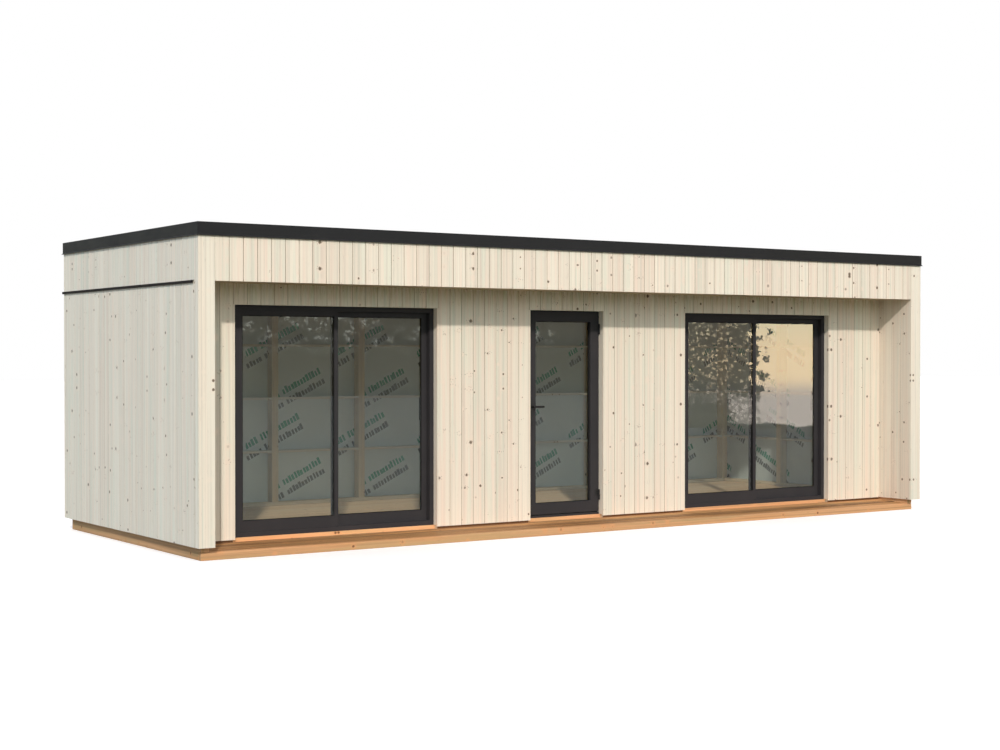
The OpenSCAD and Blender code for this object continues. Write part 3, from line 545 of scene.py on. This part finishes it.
def add_board(bm, low, high, run, out=None, joints=(True, True), ease=0.001,
              middle=None, same=None, gap=0.0038, deep=0.009):
    """Adds one board between two corners. run is the axis along it, out its outside as
    an axis and a sign. joints says which of its two long edges stand at a groove."""
    global number
    low, high = Vector(low), Vector(high)
    layer = bm.loops.layers.uv.get("boards") or bm.loops.layers.uv.new("boards")
    if same is None:
        number += 1
        same = number
    middle = (low + high) / 2 if middle is None else Vector(middle)
    before = set(bm.faces)
    if out is None:
        made = add_box(bm, low, high)
        edges = dict.fromkeys(e for v in made for e in v.link_edges)
        bmesh.ops.bevel(bm, geom=list(edges), offset=ease, segments=1, profile=0.5,
                        affect="EDGES", material=-1)
    else:
        cross = next(a for a in range(3) if a not in (run, out[0]))
        strips = []
        for side, edge, inward in ((0, low, 1), (1, high, -1)):
            if joints[side]:
                a, b = low.copy(), high.copy()
                far = edge[cross] + inward * (gap / 2 + OVERLAP)
                a[cross], b[cross] = min(edge[cross], far), max(edge[cross], far)
                back = a if out[1] > 0 else b
                back[out[0]] += OVERLAP * out[1]
                face = b if out[1] > 0 else a
                face[out[0]] -= deep * out[1]
                strips.append((a, b))
        low[cross] += gap / 2 if joints[0] else 0
        high[cross] -= gap / 2 if joints[1] else 0
        made = add_box(bm, low, high)
        face_at = high[out[0]] if out[1] > 0 else low[out[0]]
        eased = []
        for e in dict.fromkeys(e for v in made for e in v.link_edges):
            a, b = e.verts[0].co, e.verts[1].co
            side = 0 if abs(a[cross] - low[cross]) < TINY else 1
            if (abs((b - a)[run]) > (high - low)[run] * 0.9 and joints[side]
                    and abs(a[out[0]] - face_at) < TINY and abs(b[out[0]] - face_at) < TINY):
                eased.append(e)
        if eased:
            bmesh.ops.bevel(bm, geom=eased, offset=ease, segments=1, profile=0.5,
                            affect="EDGES", material=-1)
        for face in [f for f in bm.faces if f not in before]:
            face.normal_update()
            side = 0 if face.normal[cross] < 0 else 1
            if abs(face.normal[cross]) > 0.9 and joints[side]:
                face.material_index = 1
        for a, b in strips:
            for face in {f for v in add_box(bm, a, b) for f in v.link_faces}:
                face.material_index = 1
    faces = [f for f in bm.faces if f not in before]
    for face in faces:
        face.normal_update()
    lay_uv(faces, layer, run, middle, same)
    return same


print("board tool ready")


# %% [markdown]
# A finished piece keeps its place in its mesh. It rides on a body, may stand for solids,
# and takes one or two finishes.

# %% Turn a bmesh into a piece
made_pieces = []


def piece(name, bm, material, body="cabin", stands_for=(), inside=None):
    mesh = bpy.data.meshes.new(name)
    bmesh.ops.recalc_face_normals(bm, faces=bm.faces)
    for face in bm.faces:
        face.smooth = False
    bm.to_mesh(mesh)
    bm.free()
    for finish in (material, inside):
        if finish:
            mesh.materials.append(finish)
    obj = bpy.data.objects.new(name, mesh)
    bpy.context.scene.collection.objects.link(obj)
    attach(obj, body)
    if stands_for:
        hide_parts(*stands_for)
    made_pieces.append(obj)
    print(f"{name}: {len(mesh.polygons)} faces")
    return obj


# %% [markdown]
# ## Recess cladding
# The boards of the recess run on one grid from wing to wing. Beside an opening they stand
# the full height, and over it they are cut short. The board next to an opening reaches
# 10 mm past its joint, to cover the edge of the lining. The knots pair off about one height.

# %% Recess boards
piers_low, piers_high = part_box("front_wall_cladding")
low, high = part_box("slider_frames")
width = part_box("left_sliding_sash")[1].x + JAMB - low.x
doors = [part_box("door_frame"),
         (low, Vector((low.x + width, high.y, high.z))),
         (Vector((high.x - width, low.y, low.z)), high)]
head = piers_high.z
snug, near_enough = 0.0005, 0.002
bm = bmesh.new()
for n in range(BOARDS_BETWEEN_WINGS):
    x0 = header_low.x + n * board
    x1 = x0 + board
    middle = ((x0 + x1) / 2, piers_low.y, MIRROR_Z)
    over = any(a.x - LINING < middle[X] < b.x + LINING for a, b in doors)
    foot = head if over else piers_low.z
    ends = (n > 0, n < BOARDS_BETWEEN_WINGS - 1)
    same = add_board(bm, (x0, piers_low.y, foot), (x1, piers_high.y, header_high.z), Z,
                     (Y, -1), ends, middle=middle, gap=random.uniform(0.0026, 0.0038))
    for a, b in doors:
        for away, x_low, x_high in ((a.x - LINING - x1, x1 - snug, a.x),
                                    (b.x + LINING - x0, b.x, x0 + snug)):
            if abs(away) < near_enough:
                add_board(bm, (x_low, piers_low.y, foot), (x_high, piers_high.y, head), Z,
                          (Y, -1), (False, False), middle=middle, same=same)
piece("recess_boards", bm, front_clad, inside=groove,
      stands_for=("front_wall_cladding", "front_header_cladding"))


# %% [markdown]
# ## Frieze, walls and wings
# The same upright boards go round the other faces. `row` sets boards side by side between
# two corners, starting from a given joint.

# %% A row of boards
def row(bm, low, high, run, out, start=None, pitch=None, first=True, last=True, **more):
    """Fills the space between two corners with boards whose joints lie on one grid."""
    narrowest, tall = 0.012, 1.0
    pitch = pitch or board
    low, high = Vector(low), Vector(high)
    cross = next(a for a in range(3) if a not in (run, out[0]))
    start = low[cross] if start is None else start
    cuts = [low[cross]]
    at = start + math.ceil((low[cross] - start) / pitch + 0.02) * pitch
    while at < high[cross] - narrowest:
        cuts.append(at)
        at += pitch
    cuts.append(high[cross])
    for i in range(len(cuts) - 1):
        a, b = low.copy(), high.copy()
        a[cross], b[cross] = cuts[i], cuts[i + 1]
        middle = (a + b) / 2
        if run == Z and high.z - low.z > tall:
            middle.z = MIRROR_Z
        add_board(bm, a, b, run, out,
                  (first if i == 0 else True, last if i == len(cuts) - 2 else True),
                  middle=middle, **more)


bm = bmesh.new()
row(bm, frieze_low, frieze_high, Z, (Y, -1))
piece("frieze_boards", bm, frieze_clad, inside=groove,
      stands_for=("front_frieze",))

# %% Side walls and their friezes
for name, node in (("side_boards", "side_wall_cladding"), ("side_frieze_boards", "side_friezes")):
    low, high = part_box(node)
    bm = bmesh.new()
    for x0, sign in ((left, -1), (right - thick, 1)):
        row(bm, (x0, low.y, low.z), (x0 + thick, high.y, high.z), Z, (X, sign))
    piece(name, bm, clad, inside=groove, stands_for=(node,))

# %% Back wall and its frieze
for name, node in (("back_boards", "back_wall_cladding"), ("back_frieze_boards", "back_frieze")):
    low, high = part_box(node)
    bm = bmesh.new()
    row(bm, low, high, Z, (Y, 1), start=header_low.x, first=False, last=False)
    piece(name, bm, clad, inside=groove, stands_for=(node,))

# %% Wings
low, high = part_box("wing_cladding")
wing = header_low.x - left
bm, inner_bm = bmesh.new(), bmesh.new()
for x0, x1, inner, sign in ((left, left + wing, left + wing - thick, 1),
                            (right - wing, right, right - wing, -1)):
    add_board(bm, (x0, low.y, low.z), (x1, low.y + thick, high.z), Z, (Y, -1),
              joints=(False, False))
    outer = x0 if sign > 0 else x1 - thick
    add_board(bm, (outer, low.y + thick, low.z), (outer + thick, side_low.y, high.z), Z,
              (X, -sign), (False, True))
    row(inner_bm, (inner, low.y + thick, low.z), (inner + thick, high.y, header_high.z), Z,
        (X, sign), first=False, last=False, gap=0.0022)
piece("wing_boards", bm, wing_clad, inside=groove, stands_for=("wing_cladding",))
# the inner wing boards take the painted shade copy of the cladding
piece("inner_wing_boards", inner_bm, shaded_wing_clad, inside=groove)

# %% Soffit
low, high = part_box("recess_soffit")
bm = bmesh.new()
row(bm, low, high, X, (Z, -1), first=False, last=False)
# the soffit boards take the painted shade copy of the cladding
piece("soffit_boards", bm, under, inside=groove, stands_for=("recess_soffit",))

# %% Linings of the openings
lining_low, lining_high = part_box("reveal_linings")
bm = bmesh.new()
for a, b in doors:
    for x0, x1 in ((a.x - LINING, a.x), (b.x, b.x + LINING)):
        add_board(bm, (x0, lining_low.y, lining_low.z), (x1, lining_high.y, head), Z,
                  ease=0.0008)
    add_board(bm, (a.x - LINING, lining_low.y, head),
              (b.x + LINING, lining_high.y, lining_high.z), X, ease=0.0008)
piece("lining_boards", bm, clad, stands_for=("reveal_linings",))


# %% [markdown]
# ## Timbers
# Studs, plates, joists, beams and rafters are straight lengths with eased edges. Each
# solid of the node is copied, its loose triangles are merged back into flat faces, and
# its edges are bevelled a little. The longest side gives the run of the grain.

# %% Timbers from the solids
def corners(faces):
    """The low and the high corner of a solid, by which solids are put in order."""
    points = [v.co for f in faces for v in f.verts]
    return [round(end(p[a] for p in points), 4) for end in (min, max) for a in range(3)]


def islands(bm):
    """The separate solids of a bmesh, in order of place, each as a list of faces."""
    left_over = dict.fromkeys(bm.faces)
    found = []
    while left_over:
        start = next(iter(left_over))
        del left_over[start]
        group, queue = [start], [start]
        while queue:
            for edge in queue.pop().edges:
                for other in edge.link_faces:
                    if other in left_over:
                        del left_over[other]
                        group.append(other)
                        queue.append(other)
        found.append(group)
    return sorted(found, key=corners)


def copied(node):
    """A bmesh of a node's solids, with its loose triangles merged into flat faces."""
    bm = bmesh.new()
    bm.from_mesh(nodes[node].data)
    bmesh.ops.remove_doubles(bm, verts=bm.verts, dist=0.00002)
    bmesh.ops.dissolve_limit(bm, angle_limit=math.radians(0.5), verts=bm.verts, edges=bm.edges)
    return bm


def timbers(node, name, material, second=None, where=None, edge=0.0025):
    """Copies a node's timbers. The faces that where picks out take the second finish."""
    global number
    bm = copied(node)
    layer = bm.loops.layers.uv.new("boards")
    bmesh.ops.bevel(bm, geom=list(bm.edges), offset=edge, segments=1, profile=0.5,
                    affect="EDGES", material=-1)
    for faces in islands(bm):
        points = [v.co for f in faces for v in f.verts]
        low = Vector([min(p[a] for p in points) for a in range(3)])
        high = Vector([max(p[a] for p in points) for a in range(3)])
        run = max(range(3), key=lambda a: (high - low)[a])
        number += 1
        lay_uv(faces, layer, run, (low + high) / 2, number)
        for face in faces:
            face.material_index = int(second is not None and where(face))
    return piece(name, bm, material, stands_for=(node,), inside=second)


def facing_a_side(face):
    return abs(face.normal.x) > 0.9


def foot_of_front(face):
    middle = face.calc_center_median()
    return face.normal.y < -0.9 and middle.z < 0.2 and middle.y < 0.0


# the faces of the base beams that face the sides take the painted shade copy of the oil
timbers("side_base_beams", "side_base_timbers", oiled, side_shade_oil, facing_a_side)
timbers("cross_base_beams", "cross_base_timbers", oiled, side_shade_oil, facing_a_side)
for node, name, material, slot in (
    ("floor_joists", "joist_timbers", spruce, "plinth"),
    ("recess_deck", "deck_boards", decking, "deck"),
    ("door_sills", "sill_timbers", oiled, "deck"),
    ("wall_studs", "stud_timbers", spruce, "stud"),
    ("wall_noggins", "noggin_timbers", pale_spruce, "stud"),
    ("front_header_beam", "header_timber", spruce, "stud"),
    ("roof_rafters", "rafter_timbers", spruce, "stud"),
    ("side_roof_rims", "side_rim_timbers", spruce, "stud"),
    ("end_roof_rims", "end_rim_timbers", spruce, "stud"),
    ("roof_boards", "roof_deck_boards", spruce, "stud"),
):
    timbers(node, name, material)
# the front foot of the wall plates takes the painted shadow
timbers("wall_plates", "plate_timbers", spruce, foot_shadow_brown, foot_of_front)

# %% Floor boards
plank = 0.105
low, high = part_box("floor_boards")
bm = bmesh.new()
row(bm, low, high, X, (Z, 1), pitch=plank, first=False, last=False, gap=0.0015, deep=0.004)
piece("floor_planks", bm, floor_wood, stands_for=("floor_boards",), inside=groove)


# %% [markdown]
# ## Dark metal
# The door frames, sashes, roof trim and flashing are powder coated a dark grey. The coat
# has a fine orange-peel texture and is a little duller where dust has settled.

# %% Powder coat group
def coat_group():
    group = bpy.data.node_groups.new("Powder coat", "ShaderNodeTree")
    for name, side, kind in (("Place", "INPUT", "Vector"), ("Tone", "INPUT", "Color"),
                             ("Dull", "INPUT", "Float"), ("Colour", "OUTPUT", "Color"),
                             ("Roughness", "OUTPUT", "Float"), ("Height", "OUTPUT", "Float")):
        group.interface.new_socket(name, in_out=side, socket_type="NodeSocket" + kind)
    given = group.nodes.new("NodeGroupInput").outputs
    cloud = noise(group, given["Place"], 2.5, 4.0)
    peel = noise(group, given["Place"], 700.0, 1.0)
    dust = ramp(group, cloud, 0.42, 0.75)
    dusty = mix(group, 1.0, given["Tone"], (1.5, 1.45, 1.4, 1), "MULTIPLY")
    colour = mix(group, times(group, dust, 0.35), given["Tone"], dusty)
    rough = scaled(group, peel, 0.06, scaled(group, dust, 0.12, given["Dull"]))
    add(group, "NodeGroupOutput", {"Colour": colour, "Roughness": rough, "Height": peel})
    return group


coat = coat_group()


def coat_material(name, tone, dull, metallic=0.0, shine=0.05):
    material = bpy.data.materials.new(name)
    tree = empty_tree(material)
    skin = add(tree, "ShaderNodeGroup",
               {"Place": object_place(tree), "Tone": (*tone, 1), "Dull": dull},
               node_tree=coat).outputs
    surface(tree, skin["Colour"], skin["Roughness"], skin["Height"], 0.12, 0.0004, shine, metallic)
    return material


dark_coat = coat_material("dark grey powder coat", (0.041, 0.039, 0.043), 0.42)
flash_coat = coat_material("flashing coat", (0.0235, 0.0195, 0.0195), 0.60, shine=0.08)
trim_coat = coat_material("roof trim coat", (0.0185, 0.0190, 0.0215), 0.46, shine=0.2)
rubber = coat_material("black rubber seal", (0.012, 0.012, 0.012), 0.65)
steel = coat_material("dark fittings", (0.050, 0.050, 0.052), 0.32, 0.8)
print("metal materials made")


# %% [markdown]
# The roof is covered with a dark sheet, laid in strips that lap 1 m apart. Each lap is a
# dark line with a slight step, drawn by the distance to the nearest lap.

# %% Roof sheet
def sheet_material():
    material = bpy.data.materials.new("roof sheet")
    tree = empty_tree(material)
    place = object_place(tree)
    strip = maths(tree, "ADD", axes(tree, place)["X"], 0.36)
    past_lap = maths(tree, "FRACT", strip)
    lap = ramp(tree, past_lap, 0.014, 0.004)
    seam = ramp(tree, past_lap, 0.10, 0.06, 0.0, 0.35)
    tint = add(tree, "ShaderNodeTexWhiteNoise", {"W": maths(tree, "FLOOR", strip)},
               noise_dimensions="1D").outputs["Value"]
    grit, cloud = noise(tree, place, 420.0, 2.0), noise(tree, place, 1.3, 5.0)
    shade = scaled(tree, cloud, 0.30, scaled(tree, tint, 0.18, 0.80))
    shade = scaled(tree, grit, 0.30, shade)
    shade = maths(tree, "SUBTRACT", shade, scaled(tree, lap, 0.65, seam))
    colour = mix(tree, 1.0, (0.026, 0.027, 0.029, 1), grey_of(tree, shade), "MULTIPLY")
    height = scaled(tree, grit, 0.15, maths(tree, "SUBTRACT", 1.0, lap))
    surface(tree, colour, 0.85, height, 0.5, 0.002, shine=0.25)
    return material


felt = sheet_material()
print("roof sheet made")


# %% [markdown]
# The frames, sashes, trim and flashing are copies of their solids. Every edge sharper than
# 30 degrees is bevelled, so that it catches the light. Thin sheets take a smaller bevel.

# %% Softened copies of the metal solids
def softened(node, name, material, body="cabin", edge=0.0012):
    bm = copied(node)
    sharp = [e for e in bm.edges
             if len(e.link_faces) == 2 and e.calc_face_angle() > math.radians(30)]
    bmesh.ops.bevel(bm, geom=sharp, offset=edge, segments=1, profile=0.5,
                    affect="EDGES", material=-1, clamp_overlap=True)
    return piece(name, bm, material, body, stands_for=(node,))


softened("slider_frames", "slider_frame_bars", dark_coat)
softened("fixed_sashes", "fixed_sash_bars", dark_coat)
softened("left_sliding_sash", "left_sliding_bars", dark_coat, "left_slider")
softened("right_sliding_sash", "right_sliding_bars", dark_coat, "right_slider")
softened("door_frame", "door_frame_bars", dark_coat)
softened("door_leaf", "door_leaf_bars", dark_coat, "door", edge=0.0015)
softened("roof_trim", "trim_sheets", trim_coat, edge=0.0004)
softened("joint_flashing", "flashing_sheets", flash_coat, edge=0.0004)


# %% Finish the small solids in place
def dress(material, *names):
    for name in names:
        for place in nodes[name].material_slots:
            place.material = material


dress(felt, "roof_covering")
dress(steel, "door_frame_hinges", "door_leaf_hinges", "door_handles", "left_pull_handle",
      "right_pull_handle")
print("small solids finished")


# %% [markdown]
# ## Membrane
# Between the studs the wind membrane shows from inside. It is a thin grey-white sheet
# printed with slanting rows of marks. Plain broken dashes in green and grey stand here,
# with no letters.

# %% Membrane finish
def membrane_material():
    material = bpy.data.materials.new("wind membrane")
    tree = empty_tree(material)
    place = object_place(tree)
    at_x, at_y, high = axes(tree, place)
    # one flat coordinate that runs round the walls
    flat = maths(tree, "ADD", at_x, at_y)
    slope = math.radians(26.5)
    # the pitch of the groups across and up, and of the blocks along a row
    wide, tall, block = 0.975, 0.90, 0.036
    green, grey = 0.0, 0.0
    # two sets of slanting groups, the second half a step higher and a little to the right
    for aside, above, seed in ((0.0, 0.0, 1.0), (0.24, 0.45, 5.0)):
        column = maths(tree, "DIVIDE", maths(tree, "SUBTRACT", flat, aside - 0.72), wide)
        within = times(tree, maths(tree, "FRACT", column), wide)
        height = scaled(tree, within, -math.tan(slope), high)
        level = maths(tree, "DIVIDE", maths(tree, "SUBTRACT", height, above + 0.45), tall)
        off_row = times(tree, maths(tree, "FRACT", level), tall * math.cos(slope))
        step = scaled(tree, off_row, math.tan(slope),
                      maths(tree, "DIVIDE", within, math.cos(slope)))
        step = scaled(tree, step, 1 / block, -2.0)
        cell = maths(tree, "FLOOR", step)
        in_cell = maths(tree, "FRACT", step)
        not_space = maths(tree, "SUBTRACT", 1.0, maths(tree, "COMPARE", cell, 5.0, 0.5))
        shown = times(tree, maths(tree, "COMPARE", cell, 9.0, 9.5), not_space)
        place_of = add(tree, "ShaderNodeCombineXYZ",
                       {0: maths(tree, "ADD", cell, seed), 1: maths(tree, "FLOOR", level),
                        2: maths(tree, "FLOOR", column)}).outputs[0]

        def blocks(centre, shift, half):
            """One row of plain blocks of uneven length and height."""
            dice = add(tree, "ShaderNodeTexWhiteNoise",
                       {"Vector": vector(tree, "ADD", place_of, (shift,) * 3)})
            luck = channels(tree, dice.outputs["Color"])
            off = maths(tree, "SUBTRACT", off_row, centre)
            left_end = times(tree, luck[0], 0.28)
            right_end = scaled(tree, luck[1], -0.22, 1.0)
            inside = times(tree, maths(tree, "GREATER_THAN", in_cell, left_end),
                           maths(tree, "LESS_THAN", in_cell, right_end))
            top = times(tree, scaled(tree, luck[2], 0.8, 0.7), half)
            inside = times(tree, inside, maths(tree, "LESS_THAN", off, top))
            inside = times(tree, inside, maths(tree, "GREATER_THAN", off, -half))
            return times(tree, inside, shown)

        green = maths(tree, "MAXIMUM", green, blocks(0.225, 0.0, 0.029))
        grey = maths(tree, "MAXIMUM", grey, blocks(0.115, 0.5, 0.026))

    crease = noise(tree, place, 3.0, 5.0)
    sheet = mix(tree, crease, (0.52, 0.585, 0.585, 1), (0.60, 0.665, 0.665, 1))
    sheet = mix(tree, times(tree, grey, 0.85), sheet, (0.03, 0.04, 0.04, 1))
    sheet = mix(tree, times(tree, green, 0.95), sheet, (0.0, 0.25, 0.145, 1))
    surface(tree, sheet, 0.55, crease, 0.3, 0.004)
    return material


dress(membrane_material(), "wind_membrane")
print("membrane finished")


# %% [markdown]
# ## Glass
# Each pane is a sealed unit. Light and shadow pass through it, it mirrors the sky at a
# slant, and it has a faint grey tint. A black rubber seal runs round it on each side.

# %% Glass finish
def glass_material():
    material = bpy.data.materials.new("sealed glass unit")
    tree = empty_tree(material)
    path = add(tree, "ShaderNodeLightPath").outputs
    smear = ramp(tree, noise(tree, object_place(tree), 1.6, 3.0), 0.45, 0.8, 0.0, 0.012)
    pane = add(tree, "ShaderNodeBsdfPrincipled",
               {"Base Color": (0.88, 0.91, 0.89, 1), "Roughness": smear, "IOR": 1.5,
                "Transmission Weight": 1.0})
    clear = add(tree, "ShaderNodeBsdfTransparent", {"Color": (0.865, 0.88, 0.87, 1)})
    either = maths(tree, "MAXIMUM", path["Is Shadow Ray"], path["Is Diffuse Ray"])
    both = add(tree, "ShaderNodeMixShader", {0: either, 1: pane.outputs[0], 2: clear.outputs[0]})
    add(tree, "ShaderNodeOutputMaterial", {"Surface": both.outputs[0]})
    return material


dress(glass_material(), "fixed_glass", "left_sliding_glass", "right_sliding_glass", "door_glass")
print("glass finished")


# %% Rubber seals round the panes
SEAL_WIDTH = 0.006
SEAL_INSET = Vector((0.0078, 0, 0.0078))
PROUD, SUNK = Vector((0, 0.0035, 0)), Vector((0, 0.0002, 0))


def seal_ring(bm, low, high):
    """A flat ring round the edge of the box between two corners, open in the middle."""
    faces = dict.fromkeys(f for v in add_box(bm, low, high) for f in v.link_faces)
    flat = [f for f in faces if abs(f.normal.y) > 0.9]
    bmesh.ops.inset_individual(bm, faces=flat, thickness=SEAL_WIDTH, depth=0.0)
    rims = [list(f.edges) for f in flat]
    bmesh.ops.delete(bm, geom=flat, context="FACES_ONLY")
    bmesh.ops.bridge_loops(bm, edges=rims[0] + rims[1])


def seals(name, body, *panes):
    """Two seals for each pane, one on each face, a little way into view."""
    bm = bmesh.new()
    for pane_low, pane_high in panes:
        low, high = pane_low + SEAL_INSET, pane_high - SEAL_INSET
        seal_ring(bm, low - PROUD, Vector((high.x, low.y, high.z)) + SUNK)
        seal_ring(bm, Vector((low.x, high.y, low.z)) - SUNK, high + PROUD)
    return piece(name, bm, rubber, body)


low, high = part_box("fixed_glass")
left_pane, right_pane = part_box("left_sliding_glass"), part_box("right_sliding_glass")
width = left_pane[1].x - left_pane[0].x
seals("fixed_seals", "cabin", (low, Vector((low.x + width, high.y, high.z))),
      (Vector((high.x - width, low.y, low.z)), high))
seals("left_sliding_seals", "left_slider", left_pane)
seals("right_sliding_seals", "right_slider", right_pane)
seals("door_seals", "door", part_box("door_glass"))

# %% [markdown]
# ## Finish
# The view transform stays plain, so that colours come out as they are written. The bounds of
# the dressed cabin are measured.

# %% Measure the cabin and finish
bpy.context.scene.view_settings.view_transform = "Standard"
low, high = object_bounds()
print("pieces made:", len(made_pieces))
